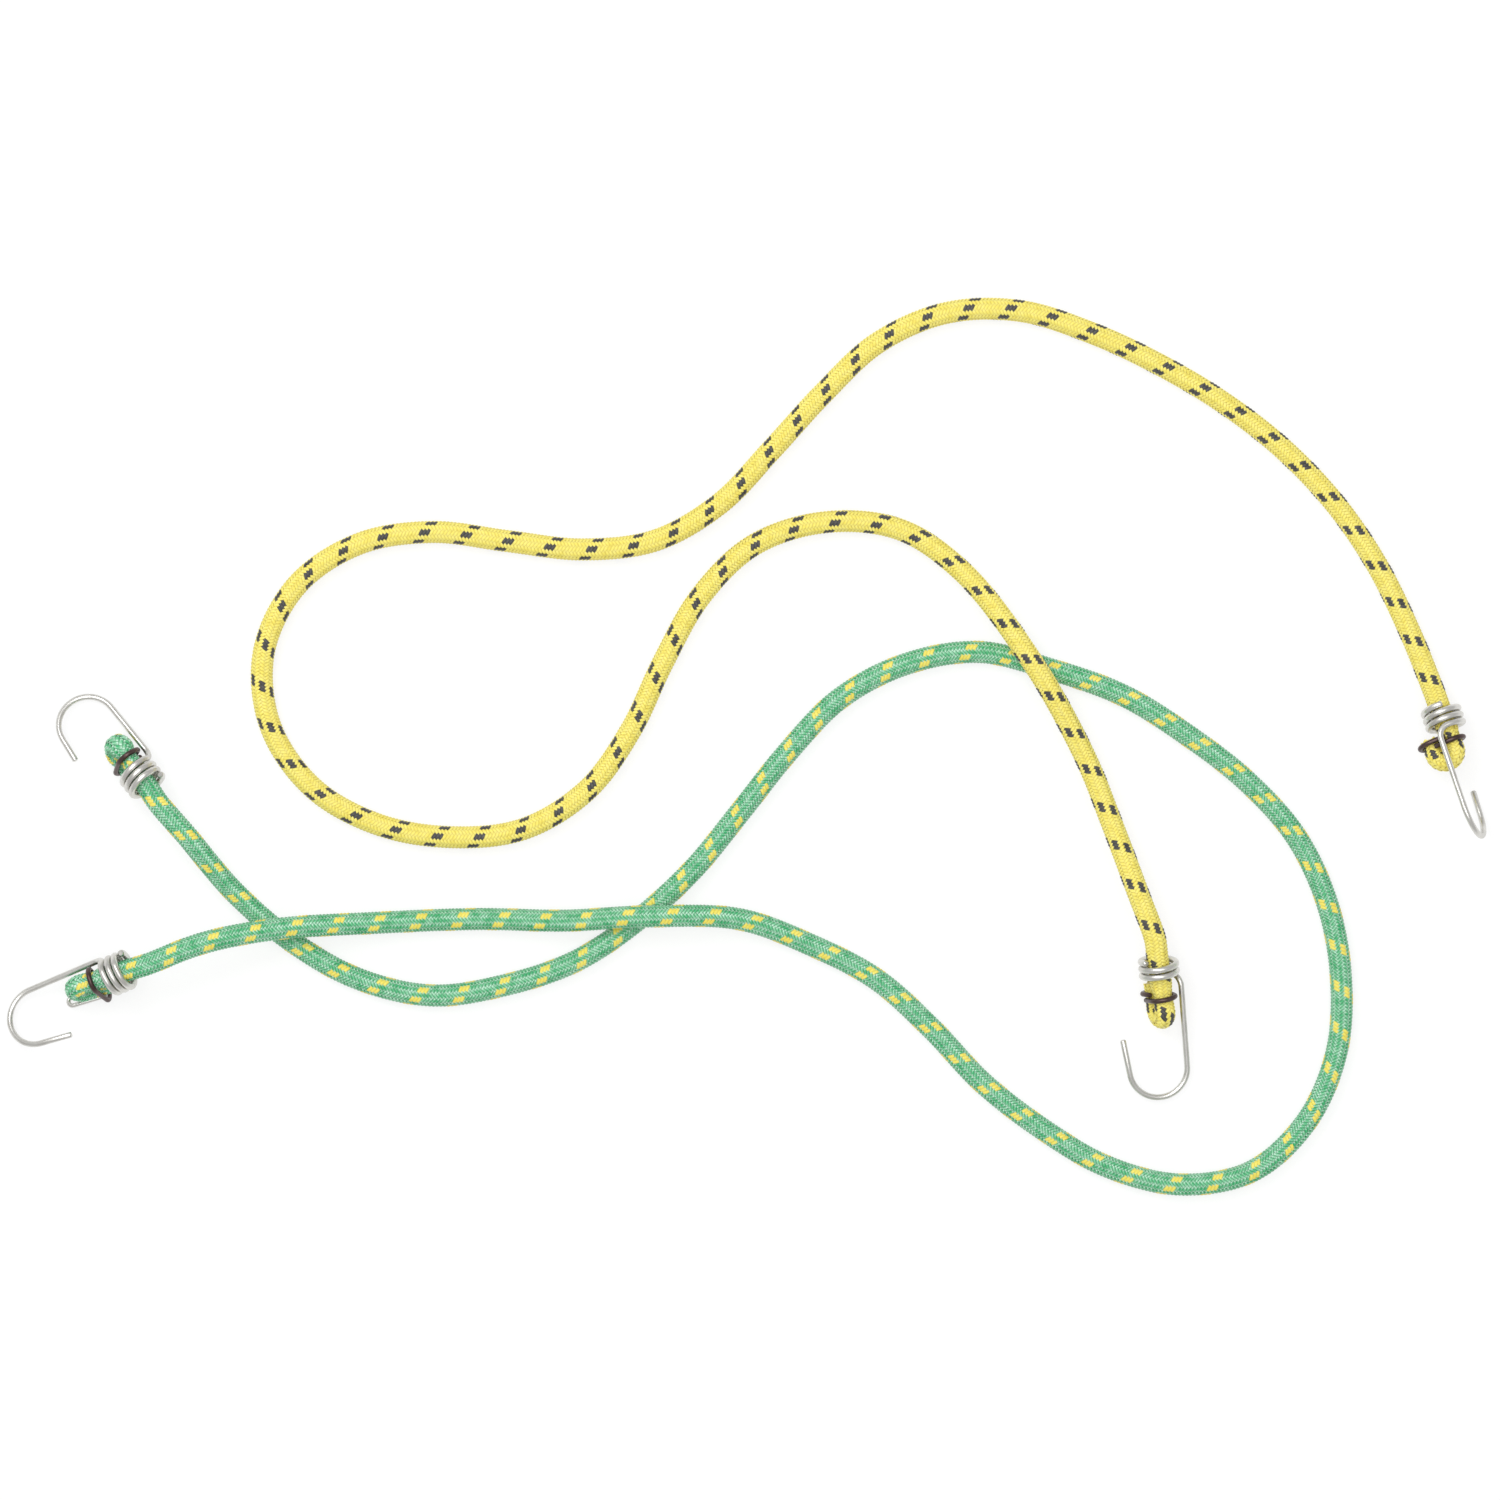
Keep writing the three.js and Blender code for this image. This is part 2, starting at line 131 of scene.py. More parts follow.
def hook_place(end):
    """From the hook's own frame, in millimetres, to the row frame. The loose coil sags."""
    turn = turned(end["heading"] + end["yaw"], end["slope"] + end["dip"], end["leg"])
    return Matrix.Translation(Vector(end["at"]) - Vector((0, 0, COIL_SAG))) @ turn


for name, end in ENDS.items():
    print(name, "points", [round(v, 3) for v in fold_place(end).to_3x3() @ Vector((1, 0, 0))])

# %% The routes of the two free cords
GREEN_ROUTE = [
    (-187.4, 21.1, 1.3), (-171, 1.3, 0.33), (-152, -15, 0), (-130.5, -27, 0),
    (-106, -32.5, 0), (-81.5, -29, 0), (-58, -21, 0), (-37, -7, 0),
    (-19, 9.5, 0), (-3, 29, 0), (12.5, 48.5, 0), (30, 66.5, 0),
    (52, 78, 0), (76.5, 82, 0), (101, 76, 0), (124.5, 67.5, 0),
    (145.5, 54.5, 0), (165.5, 39, 0), (182, 20.5, 0), (192.5, -2, 0),
    (197, -26.5, 0), (195.5, -51.5, 0), (185.5, -74.5, 0), (167.5, -91, 0),
    (143.5, -95.5, 0), (119, -89.5, 0), (97.5, -77, 0), (77.5, -61.5, 0),
    (60.5, -43.5, 0), (42, -27, 0), (20, -15.5, 0.05), (-3.5, -7, 0.42),
    (-34, -6, 1), (-62, -7.5, 0.42), (-90, -7, 0.08), (-124, -8.2, 0.25),
    (-158.5, -10.3, 1.12), (-182, -14.9, 1.62),
]
YELLOW_ROUTE = [
    (129.1, 1.5, 1.2), (120.8, 24, 0.6), (111.5, 47.2, 0.5), (94, 78.5, 1),
    (70.5, 109, 0.3), (49.5, 123, 0.03), (24.5, 125.2, 0), (1, 117.5, 0),
    (-16.5, 100.5, 0), (-29, 78.5, 0), (-39.7, 56, 0), (-54.3, 36, 0),
    (-75.5, 23, 0), (-100, 20.3, 0), (-124.5, 24.7, 0), (-146, 37, 0),
    (-160, 57.7, 0), (-162, 82.3, 0), (-151, 104.3, 0), (-130.5, 118, 0),
    (-106, 122, 0), (-81, 119, 0), (-56, 116.2, 0), (-31.5, 119.2, 0),
    (-10, 131.5, 0), (7.3, 149.5, 0), (24.2, 168, 0), (42.5, 185, 0),
    (65.3, 195, 0), (90, 195.7, 0), (114, 188.3, 0), (136.5, 177.8, 0),
    (158, 165, 0), (177.7, 149.7, 0), (195, 131.5, 0), (209, 111, 0),
    (220, 88.5, 0.06),
]
print("points of the routes:", len(GREEN_ROUTE), "and", len(YELLOW_ROUTE))

# %% From points to an even line
STEP = 1.5
SPAN_POINTS = 24


def smooth_line(points, step):
    """A centripetal Catmull-Rom spline through the points, cut into even steps in mm."""
    knots = [2 * points[0] - points[1], *points, 2 * points[-1] - points[-2]]
    dense = []
    for a, b, c, d in zip(knots, knots[1:], knots[2:], knots[3:]):
        first, middle, last = ((q - p).length ** 0.5 for p, q in ((a, b), (b, c), (c, d)))
        leave = ((b - a) / first - (c - a) / (first + middle) + (c - b) / middle) * middle
        arrive = ((c - b) / middle - (d - b) / (middle + last) + (d - c) / last) * middle
        for i in range(SPAN_POINTS):
            t = i / SPAN_POINTS
            dense.append(b * (2 * t**3 - 3 * t**2 + 1) + leave * (t**3 - 2 * t**2 + t)
                         + c * (3 * t**2 - 2 * t**3) + arrive * (t**3 - t**2))
    dense.append(points[-1])
    return even_steps(dense, step)


def even_steps(dense, step):
    """The same line with its points evenly spaced, close to the given step."""
    reach = [0.0]
    for p, q in zip(dense, dense[1:]):
        reach.append(reach[-1] + (q - p).length)
    count = max(2, round(reach[-1] / step))
    line, k = [], 0
    for i in range(count + 1):
        goal = reach[-1] * i / count
        while k < len(reach) - 2 and reach[k + 1] < goal:
            k += 1
        share = (goal - reach[k]) / (reach[k + 1] - reach[k])
        line.append(dense[k].lerp(dense[k + 1], min(1.0, share)))
    return line


def length_of(line):
    """The length of a line of points."""
    return sum((q - p).length for p, q in zip(line, line[1:]))


print("even steps of about", STEP, "mm, from", SPAN_POINTS, "points between two of a route")

# %% The free stretches' lines
STRAIGHT = (JOIN, 5, 10)


def free_line(first, route, last):
    """The free stretch from coil to coil, in millimetres, straight where it meets a coil."""
    def before(end, away):
        return fold_place(ENDS[end]) @ Vector((-away, 0, 0))
    points = [before(first, away) for away in STRAIGHT]
    points += [Vector((x, y, CORD_REST + CROSSING_RISE * share)) for x, y, share in route]
    points += [before(last, away) for away in reversed(STRAIGHT)]
    return smooth_line(points, STEP)


LINES = {
    "green": free_line("green_a", GREEN_ROUTE, "green_b"),
    "yellow": free_line("yellow_d", YELLOW_ROUTE, "yellow_c"),
}
for name, line in LINES.items():
    print(name, "free stretch:", round(length_of(line), 1), "mm")

# %% [markdown]
# ## Shader maths as Python
# Blender's materials are graphs of nodes. Two small classes make them readable: a value wraps
# a socket, so that adding or multiplying values adds the Math nodes, and a finish makes every
# other kind of node with one method.

# %% A value in a material
class Value:
    """An output socket of a finish, with the operators that shader maths needs."""

    def __init__(self, finish, socket):
        self.finish, self.socket = finish, socket

    def maths(self, operation, *others):
        """This value first, then the others."""
        return self.finish.maths(operation, self, *others)

    def __add__(self, other):
        return self.maths("ADD", other)

    def __radd__(self, other):
        return self.maths("ADD", other)

    def __sub__(self, other):
        return self.maths("SUBTRACT", other)

    def __rsub__(self, other):
        return self.finish.maths("SUBTRACT", other, self)

    def __mul__(self, other):
        return self.maths("MULTIPLY", other)

    def __rmul__(self, other):
        return self.maths("MULTIPLY", other)

    def __pow__(self, other):
        return self.maths("POWER", other)

    def kept(self, low, high):
        """Never below low and never above high."""
        return self.maths("MAXIMUM", low).maths("MINIMUM", high)

    def size(self):
        """How far the value is from zero."""
        return self.maths("ABSOLUTE")


print("a value has:", [name for name in vars(Value) if callable(getattr(Value, name))])


# %% A finish
class Finish:
    """A material on one Principled BSDF. The constants go on the shader's own sockets."""

    def __init__(self, name, **constants):
        self.material = bpy.data.materials.new(name)
        self.material.use_nodes = True
        self.tree = self.material.node_tree
        self.shader = self.tree.nodes["Principled BSDF"]
        for socket, constant in constants.items():
            self.shader.inputs[socket.replace("_", " ")].default_value = constant

    def node(self, kind, settings, sockets, output=0):
        """Adds a node, with its settings first and then its sockets' values or links."""
        made = self.tree.nodes.new(kind)
        for setting, choice in settings.items():
            setattr(made, setting, choice)
        for socket, source in sockets.items():
            self.join(made.inputs[socket], source)
        return Value(self, made.outputs[output])

    def join(self, socket, source):
        """Links a value to a socket, or sets a plain number or colour there."""
        if isinstance(source, Value):
            self.tree.links.new(source.socket, socket)
        else:
            socket.default_value = source

    def maths(self, operation, *terms):
        return self.node("ShaderNodeMath", {"operation": operation}, dict(enumerate(terms)))

    def noise(self, place, scale, detail=2):
        """Noise between 0 and 1, with that many grains to a unit of the place."""
        sockets = {"Vector": place, "Scale": scale, "Detail": detail}
        return self.node("ShaderNodeTexNoise", {}, sockets)

    def place(self):
        """Where a point is on the object, in metres."""
        return self.node("ShaderNodeTexCoord", {}, {}, "Object")

    def stretched(self, place, stretch):
        return self.node("ShaderNodeMapping", {}, {"Vector": place, "Scale": stretch})

    def mixed(self, share, start, end):
        """A colour on the way from start to end. These are the Mix node's colour sockets."""
        return self.node("ShaderNodeMix", {"data_type": "RGBA"}, {0: share, 6: start, 7: end}, 2)

    def set(self, socket, source):
        self.join(self.shader.inputs[socket], source)

    def raise_by(self, height, distance, strength=1.0):
        """Bump that stands out by the distance in metres where the height is 1."""
        sockets = {"Height": height, "Distance": distance, "Strength": strength}
        self.set("Normal", self.node("ShaderNodeBump", {}, sockets))


print("a finish has:", [name for name in vars(Finish) if not name.startswith("_")])

# %% [markdown]
# ## The yarns' finish
# A yarn is a bundle of fine filaments, so its shine is streaky along its own length, and its
# edges are darker where light doesn't reach between neighbours. Both are painted into the
# colour: painted highlight streaks, and painted shade at the edges. Both follow the yarn, not
# the room, so they read the yarn's own UV map: U runs along a float and V across it. The light
# catches a glossy yarn most where it dips under its neighbours, at the tips of each float, so a
# painted highlight lightens the tips. Noise over the object adds painted highlight in spots, and
# darker blotches between them. The green yarn is glossy filament and the yellow one is flat,
# dull tape.

# %% One finish for every yarn
def yarn_finish(name, colour, shade_colour, highlight_colour, roughness, sheen, streak_highlight, tip_highlight, spotted_highlight, groove_shade):
    """Painted highlight in streaks, at the float tips and in spots, and painted shade in the
    grooves.
    """
    finish = Finish(name, Roughness=roughness, Sheen_Weight=sheen, Sheen_Roughness=0.4)
    grid = finish.node("ShaderNodeUVMap", {"uv_map": "yarn"}, {})
    along = finish.node("ShaderNodeSeparateXYZ", {}, {0: grid}, 0)
    across = finish.node("ShaderNodeSeparateXYZ", {}, {0: grid}, 1)
    # Painted shade: the colour darkens towards each float's sides, in the grooves between floats.
    rim_shade = ((across - 0.5).size() * 2) ** 2.2
    # Painted highlight at each float's two tips.
    tip = ((along - 0.5).size() * 2) ** 2.6
    strands = finish.noise(finish.stretched(grid, (1.2, 9, 1)), 1.0, 3)
    drift = finish.noise(finish.place(), 420, 2)
    # The share of painted highlight in the colour: streaks along the filaments, the float tips,
    # and spots where the noise over the object is high.
    painted_highlight = (strands - 0.42) * streak_highlight + tip * tip_highlight + (drift - 0.5) * spotted_highlight
    body = finish.mixed(painted_highlight.kept(0, 1), colour, highlight_colour)
    # Darker blotches at random, towards the dark groove colour, where that noise is low.
    body = finish.mixed((0.5 - drift).kept(0, 1) * 1.2, body, shade_colour)
    # Painted shade: the grooves take the dark colour.
    finish.set("Base Color", finish.mixed((rim_shade * groove_shade).kept(0, 1), body, shade_colour))
    finish.set("Roughness", roughness + (strands - 0.5) * 0.25)
    finish.raise_by(strands, 0.12 * MM, 0.8)
    return finish.material


# %% The four yarns
# Each yarn has its own colour, a dark colour for its painted shade and a pale colour for its
# painted highlights.
GREEN_YARN = yarn_finish(
    "green_yarn", colour=(0.032, 0.470, 0.160, 1), shade_colour=(0.008, 0.260, 0.085, 1),
    highlight_colour=(0.740, 1.000, 0.840, 1), roughness=0.34, sheen=0.03,
    streak_highlight=2.2, tip_highlight=1.1, spotted_highlight=1.1, groove_shade=1.1)
GREEN_TRACER = yarn_finish(
    "warm_yellow_yarn", colour=(0.900, 0.790, 0.120, 1), shade_colour=(0.700, 0.560, 0.060, 1),
    highlight_colour=(1.000, 0.930, 0.360, 1), roughness=0.5, sheen=0.1,
    streak_highlight=1.6, tip_highlight=0.1, spotted_highlight=0.6, groove_shade=0.7)
YELLOW_YARN = yarn_finish(
    "yellow_yarn", colour=(0.980, 0.860, 0.150, 1), shade_colour=(0.680, 0.500, 0.040, 1),
    highlight_colour=(1.000, 0.960, 0.480, 1), roughness=0.6, sheen=0.1,
    streak_highlight=1.4, tip_highlight=0.3, spotted_highlight=0.6, groove_shade=0.7)
YELLOW_TRACER = yarn_finish(
    "black_yarn", colour=(0.048, 0.046, 0.043, 1), shade_colour=(0.016, 0.015, 0.014, 1),
    highlight_colour=(0.210, 0.207, 0.200, 1), roughness=0.5, sheen=0.1,
    streak_highlight=2.0, tip_highlight=0.1, spotted_highlight=0.6, groove_shade=0.7)
for yarn in (GREEN_YARN, GREEN_TRACER, YELLOW_YARN, YELLOW_TRACER):
    print(yarn.name, "nodes:", len(yarn.node_tree.nodes))

# %% [markdown]
# ## The braid
# Twenty-four yarns are braided over two and under two, twelve winding each way. What shows is
# twelve columns of short floats, leaning left and right in turn, which is a herringbone. Each
# float crosses two yarns of the other hand, so it is a skewed patch two cells long, and the
# tips of neighbouring columns lock like teeth. Three neighbouring yarns of one hand are the
# tracers. A picture of a weave would look flat at the cord's edge, so every float is a small
# domed ribbon. One turn of the braid is made once, then an Array modifier repeats it and a
# Curve modifier bends it along the cord.

# %% One float, wrapped on the cord
CORD_RADIUS = CORD_DIAMETER / 2
COLUMNS = 12
TURN = 14.0
LEAN = math.atan2(math.tau * CORD_RADIUS, TURN)
CELL = math.hypot(math.tau * CORD_RADIUS, TURN) / COLUMNS / 2
FLOAT_LENGTH, FLOAT_WIDTH = 1.05, 0.54
TIP_DROP, SIDE_DROP = 0.34, 0.22


def add_float(bm, hand, stretch, lift):
    """A float on top of the cord. A hand of 1 leans it left, and -1 leans it right. Its half
    length and half width are in cells, and its tips and sides drop, in mm, to dome it."""
    grid = bmesh.ops.create_grid(bm, x_segments=4, y_segments=2, size=1, calc_uvs=True)["verts"]
    for vert in grid:
        along, across = vert.co.x, vert.co.y
        own, other = along * CELL * FLOAT_LENGTH * stretch, across * CELL * FLOAT_WIDTH
        x = (own - hand * other) * math.cos(LEAN)
        y = (hand * own + other) * math.sin(LEAN)
        radius = CORD_RADIUS + lift - TIP_DROP * along**4 - SIDE_DROP * across**2
        angle = y / CORD_RADIUS
        vert.co = (x, radius * math.sin(angle), radius * math.cos(angle))
    return grid


probe = bmesh.new()
print("corners of a float:", len(add_float(probe, 1, 1.0, 0.0)), "faces:", len(probe.faces))
probe.free()

# %% Rows of floats, the base yarns or the tracers
TRACER_YARNS = 3
TRACER_STRETCH, TRACER_LIFT = 1.26, 0.07
ROW_START = 0.25


def mesh_in_metres(bm, name):
    """Turns a bmesh in millimetres into a mesh in metres, and frees it."""
    bmesh.ops.scale(bm, vec=(MM, MM, MM), verts=bm.verts)
    mesh = bpy.data.meshes.new(name)
    bm.to_mesh(mesh)
    bm.free()
    return mesh


def braid_rows(name, rows, spacing, first_row, tracer):
    """A mesh of the chosen yarns' floats in rows along X. A yarn's floats climb one column
    with each row, so its number follows from both."""
    bm = bmesh.new()
    bm.loops.layers.uv.new("yarn")
    form = (TRACER_STRETCH, TRACER_LIFT) if tracer else (1.0, 0.0)
    for column in range(COLUMNS):
        hand = 1 if column % 2 == 0 else -1
        for row in range(rows):
            carrier = (row + first_row - hand * column) % COLUMNS
            if (hand == 1 and carrier < TRACER_YARNS) != tracer:
                continue
            new = add_float(bm, hand, *form)
            angle = -(column + 1) * math.tau / COLUMNS
            place = (row + ROW_START + column % 2 / 2) * spacing
            bmesh.ops.rotate(bm, verts=new, matrix=Matrix.Rotation(angle, 3, "X"))
            bmesh.ops.translate(bm, verts=new, vec=(place, 0, 0))
    for face in bm.faces:
        face.smooth = True
    return mesh_in_metres(bm, name)


sample = braid_rows("sample", COLUMNS, TURN / COLUMNS, 0, True)
print("faces of the tracers in one turn:", len(sample.polygons))
bpy.data.meshes.remove(sample)

# %% [markdown]
# ## Bending along a line
# The cords and wires all follow a line in space. A poly curve through the line's points is the
# guide. A Curve modifier bends the braid's rows along it, and a bevel turns it into a round
# rod. Both are then baked: the shape after its modifiers becomes a plain mesh, which rides
# without its guide.

# %% Guides, and meshes out of modifiers
def guide(name, line, radii=None, twist=0):
    """A poly curve along a line in millimetres, with the radius of each point as a share. The
    twist turns what is bent along it, most of all half way."""
    curve = bpy.data.curves.new(name, "CURVE")
    curve.dimensions = "3D"
    curve.use_radius = True
    spline = curve.splines.new("POLY")
    spline.points.add(len(line) - 1)
    for i, (point, spot) in enumerate(zip(spline.points, line)):
        point.co = (*(spot * MM), 1)
        point.radius = radii[i] if radii else 1.0
        point.tilt = twist * math.sin(math.pi * i / (len(line) - 1))
    return linked(name, curve)


def baked(obj, name, finish):
    """The object's shape after its modifiers, as a new mesh object. The old one goes."""
    bpy.context.view_layer.update()
    shape = obj.evaluated_get(bpy.context.evaluated_depsgraph_get())
    mesh = bpy.data.meshes.new_from_object(shape)
    mesh.name = name
    mesh.materials.clear()
    mesh.materials.append(finish)
    bpy.data.objects.remove(obj)
    return linked(name, mesh)


print("guide and baked ready")


# %% A braid bent along a guide, and a round rod
def bent_along(name, mesh, path, count, pitch, finish):
    """Repeats a mesh along X and bends it along a guide."""
    obj = linked(name + "_rows", mesh)
    if count > 1:
        array = obj.modifiers.new("repeat", "ARRAY")
        array.use_relative_offset = False
        array.use_constant_offset = True
        array.constant_offset_displace = (pitch * MM, 0, 0)
        array.count = count
    bend = obj.modifiers.new("bend", "CURVE")
    bend.object = path
    bend.deform_axis = "POS_X"
    return baked(obj, name, finish)


def round_rod(name, line, radius, finish, sides=16, radii=None):
    """A closed round rod along a line in millimetres. Only its two flat caps stay unsmoothed."""
    path = guide(name + "_line", line, radii)
    path.data.bevel_depth = radius * MM
    path.data.bevel_resolution = sides // 4 - 1
    path.data.use_fill_caps = True
    rod = baked(path, name, finish)
    for face in rod.data.polygons:
        face.use_smooth = len(face.vertices) == 4
    return rod


print("bent_along and round_rod ready")

# %% [markdown]
# ## The free stretches
# Each cord is made of three pieces that ride together: the base yarns, the tracers, which have
# another colour, and a bed, a plain rod in the yarn's colour just under the floats, so that no
# gap in the weave lets the eye through. The yellow braid turns a little on its way, as a cord
# that was coiled does.

# %% The free stretches
BED_DEPTH = 0.42
CORDS = {
    "green": dict(tracer=GREEN_TRACER, yarn=GREEN_YARN, twist=0, first_row=4,
                  body="green_cord", ends=("green_a", "green_b")),
    "yellow": dict(tracer=YELLOW_TRACER, yarn=YELLOW_YARN, twist=math.radians(30), first_row=0,
                   body="yellow_cord", ends=("yellow_d", "yellow_c")),
}


def dress(piece, body, *nodes):
    """The piece moves with the body, and stands for the nodes."""
    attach(piece, body)
    if nodes:
        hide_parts(*nodes)
    return piece


for colour, cord in CORDS.items():
    line = LINES[colour]
    length = length_of(line)
    turns = round(length / TURN)
    pitch = length / turns
    path = guide(f"{colour}_guide", line, twist=cord["twist"])
    spacing = pitch / COLUMNS
    plain, marked = (braid_rows(f"{colour}_turn", COLUMNS, spacing, cord["first_row"], tracer)
                     for tracer in (False, True))
    base = bent_along(f"{colour}_braid", plain, path, turns, pitch, cord["yarn"])
    traced = bent_along(f"{colour}_tracers", marked, path, turns, pitch, cord["tracer"])
    bpy.data.objects.remove(path)
    bed = round_rod(f"{colour}_braid_bed", line, CORD_RADIUS - BED_DEPTH, cord["yarn"])
    dress(base, cord["body"], f"{colour}_sheath")
    dress(traced, cord["body"])
    dress(bed, cord["body"])
    tuple(line[0] * MM)
    [tuple(p * MM) for p in line]
    print(colour, "turns:", turns, "faces:", [len(p.data.polygons) for p in (base, traced, bed)])

# %% [markdown]
# ## The folded ends
# Behind each coil the cord turns back on itself, so its end is a knob of two strands side by
# side. The clip squeezes them, and the loop swells beyond it. It is the same braid, so the same
# rows of floats are bent along the fold's own line, thinned at the clip by the line's radius
# and then widened in the knob. The tail's cut face shows the ends of the rubber strands.

# %% A fold's line and its thickness
STRAND_RADIUS = 3.35
FOLD_RADIUS = 3.5
DROP = 0.2
BACK = 2 * FOLD_RADIUS - DROP
TAIL_START = 5.7
COIL_FACE = 5.0
NECK = 1.5
SQUEEZE, SQUEEZE_REACH = 0.35, 2.2
OUT_STEPS, TURN_STEPS, BACK_STEPS = 24, 20, 14
SWELL = {"green_a": 1.24, "green_b": 1.06, "yellow_c": 1.24, "yellow_d": 1.06}


def eased(value, start, end):
    """0 before start, 1 after end and smooth between them."""
    share = min(1.0, max(0.0, (value - start) / (end - start)))
    return share * share * (3 - 2 * share)


def fold_line(clip_place, knob_turn):
    """The line of a fold in its own frame, from the coil's middle out and back, in mm."""
    out = [Vector((JOIN + (knob_turn - JOIN) * i / OUT_STEPS, 0, 0)) for i in range(OUT_STEPS)]
    for spot in out:
        spot.z = -DROP * eased(spot.x, COIL_FACE, clip_place - NECK)
    angles = [math.pi * i / TURN_STEPS for i in range(TURN_STEPS + 1)]
    turn = [Vector((knob_turn + FOLD_RADIUS * math.sin(angle), 0,
                    FOLD_RADIUS * (1 - math.cos(angle)) - DROP)) for angle in angles]
    tail = TAIL_START - knob_turn
    back = [Vector((knob_turn + tail * i / BACK_STEPS, 0, BACK)) for i in range(1, BACK_STEPS + 1)]
    return out + turn + back


def fold_radius(spot, clip_place):
    """The strand's radius: full in the coil, squeezed under the clip, fuller in the knob."""
    narrowing = (CORD_RADIUS - STRAND_RADIUS) * eased(spot.x, COIL_FACE, clip_place - NECK)
    full = CORD_RADIUS - narrowing if spot.z < FOLD_RADIUS - DROP else STRAND_RADIUS
    towards = eased(spot.x, clip_place - SQUEEZE_REACH, clip_place)
    past = eased(spot.x, clip_place, clip_place + SQUEEZE_REACH)
    return full - SQUEEZE * towards * (1 - past)


for name, end in ENDS.items():
    print(name, "fold:", round(length_of(fold_line(end["clip_place"], end["knob_turn"])), 1), "mm")

# %% [markdown]
# ## Rubber
# The core is a bundle of natural rubber strands, dull and a little dusty. It shows only at the
# cut end of each tail. The packed model's own core pieces stay as they are, and only get this
# finish, which is done by putting another material in their slot.

# %% The finish of the rubber
def rubber_finish(name, colour, dust):
    finish = Finish(name, Roughness=0.7)
    grain = finish.noise(finish.place(), 900, 3)
    drift = finish.noise(finish.place(), 160, 2)
    tone = finish.mixed((grain - 0.4).kept(0, 1) * 1.4, colour, dust)
    finish.set("Base Color", finish.mixed((drift - 0.5).kept(0, 1), tone, dust))
    finish.set("Roughness", 0.6 + grain * 0.25)
    finish.raise_by(grain, 0.06 * MM)
    return finish.material


RUBBER = rubber_finish("rubber_strand", (0.60, 0.56, 0.47, 1), (0.78, 0.74, 0.64, 1))
for name, node in frame["nodes"].items():
    if name.endswith("_core"):
        node.material_slots[0].material = RUBBER
print("rubber:", RUBBER.name)

# %% Placing, swelling and the cut strands
STRAND_RINGS = ((6, 0.95), (12, 1.85))
STRAND_END_RADII = (0.42, 0.46)
STRAND_END_LENGTH = 1.6
STRAND_END_SETBACK, STRAND_END_SPREAD = 0.72, 0.08
SWELL_START, SWELL_FULL = 0.8, 1.0


def placed(piece, matrix):
    """Puts a piece made in an end's own frame into the row frame, in its mesh."""
    move = matrix.copy()
    move.translation *= MM
    piece.data.transform(move)
    return piece


def swollen(piece, end, swell):
    """Widens the knob sideways, from just beyond the clip to where the strand turns."""
    start, full = end["clip_place"] + SWELL_START, end["knob_turn"] + SWELL_FULL
    for vert in piece.data.vertices:
        beyond = eased(vert.co.x / MM, start, full)
        vert.co.y *= 1 + (swell - 1) * beyond
    return piece


def strand_ends(name):
    """The cut rubber strands in the tail: one in the middle and two rings round it. None of
    them is cut at quite the same length."""
    bm = bmesh.new()
    spots = [(0, 0)]
    for count, reach in STRAND_RINGS:
        angles = [math.tau * (i + 0.3) / count for i in range(count)]
        spots += [(reach * math.cos(a), reach * math.sin(a)) for a in angles]
    along_x = Matrix.Rotation(math.pi / 2, 3, "Y")
    for i, (y, z) in enumerate(spots):
        cut = bmesh.ops.create_cone(bm, cap_ends=True, segments=8, depth=STRAND_END_LENGTH,
                                    radius1=STRAND_END_RADII[0], radius2=STRAND_END_RADII[1])
        x = TAIL_START + STRAND_END_SETBACK + STRAND_END_SPREAD * math.sin(i * 2.4)
        bmesh.ops.rotate(bm, verts=cut["verts"], matrix=along_x)
        bmesh.ops.translate(bm, verts=cut["verts"], vec=(x, y, z + BACK))
    mesh = mesh_in_metres(bm, name)
    mesh.materials.append(RUBBER)
    return linked(name, mesh)


print("cut strands in a tail:", 1 + sum(count for count, reach in STRAND_RINGS))

# %% Make the four folds
FOLD_ROW = {"green_a": 3, "green_b": 9, "yellow_c": 9, "yellow_d": 5}

for colour, cord in CORDS.items():
    for name in cord["ends"]:
        end = ENDS[name]
        line = fold_line(end["clip_place"], end["knob_turn"])
        shares = [fold_radius(spot, end["clip_place"]) / CORD_RADIUS for spot in line]
        rows = round(length_of(line) / (TURN / COLUMNS))
        spacing = length_of(line) / rows
        path = guide(f"{name}_guide", line, shares)
        parts = []
        for tracer, word in ((False, "fold_braid"), (True, "fold_tracers")):
            floats = braid_rows(f"{name}_{word}", rows, spacing, FOLD_ROW[name], tracer)
            finish = cord["tracer"] if tracer else cord["yarn"]
            parts.append(bent_along(f"{name}_{word}", floats, path, 1, 0, finish))
        bpy.data.objects.remove(path)
        inner = [share - BED_DEPTH / CORD_RADIUS for share in shares]
        parts.append(round_rod(f"{name}_fold_bed", line, CORD_RADIUS, cord["yarn"], 16, inner))
        for part in parts:
            placed(swollen(part, end, SWELL[name]), fold_place(end))
        dress(parts[0], cord["body"], f"{name}_fold_sheath")
        for part in parts[1:]:
            dress(part, cord["body"])
        strands = placed(strand_ends(f"{name}_cut_strands"), fold_place(end))
        dress(strands, cord["body"])
        print(name, "faces:", [len(part.data.polygons) for part in parts])

# %% [markdown]
# ## The wire
# Hooks, clips and staple are drawn round wire, bent cold. The same rod helper sweeps a circle
# along each bend. Drawn wire is smooth but never perfect: its shine breaks up in a fine grain,
# for which a weak bump is enough. The clips are plain dark wire, and the hooks are bright with
# a thin coat of zinc, which turns grey in patches.

